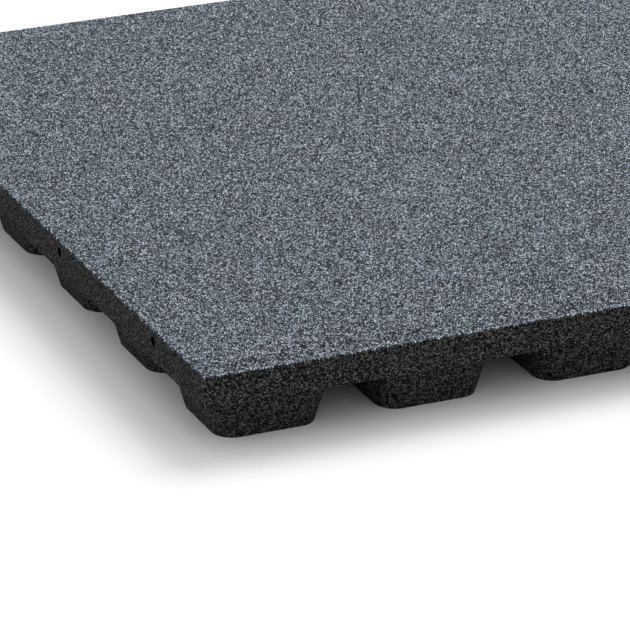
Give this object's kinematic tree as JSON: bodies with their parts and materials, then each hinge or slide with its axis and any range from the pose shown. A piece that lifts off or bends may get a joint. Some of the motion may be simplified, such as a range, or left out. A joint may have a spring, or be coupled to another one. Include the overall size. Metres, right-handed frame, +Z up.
{
  "type": "playground safety tile",
  "caption": "Square fall protection tile of bound rubber granulate: a flat slab on tapered feet, with drainage channels between them and dowel holes in opposite sides.",
  "frame": {"origin": "middle of the tile on the ground, under the feet", "axes": "+X along the front side, towards the right one, +Y from the front side to the back one, +Z up through the top face"},
  "size_m": [1, 1, 0.08],
  "materials": {
    "granulate": "matte bonded granulate, slate grey on the top face and near black on the sides, feet and underside"
  },
  "bodies": {
    "root": {"safety_tile": "granulate"}
  },
  "joints": []
}
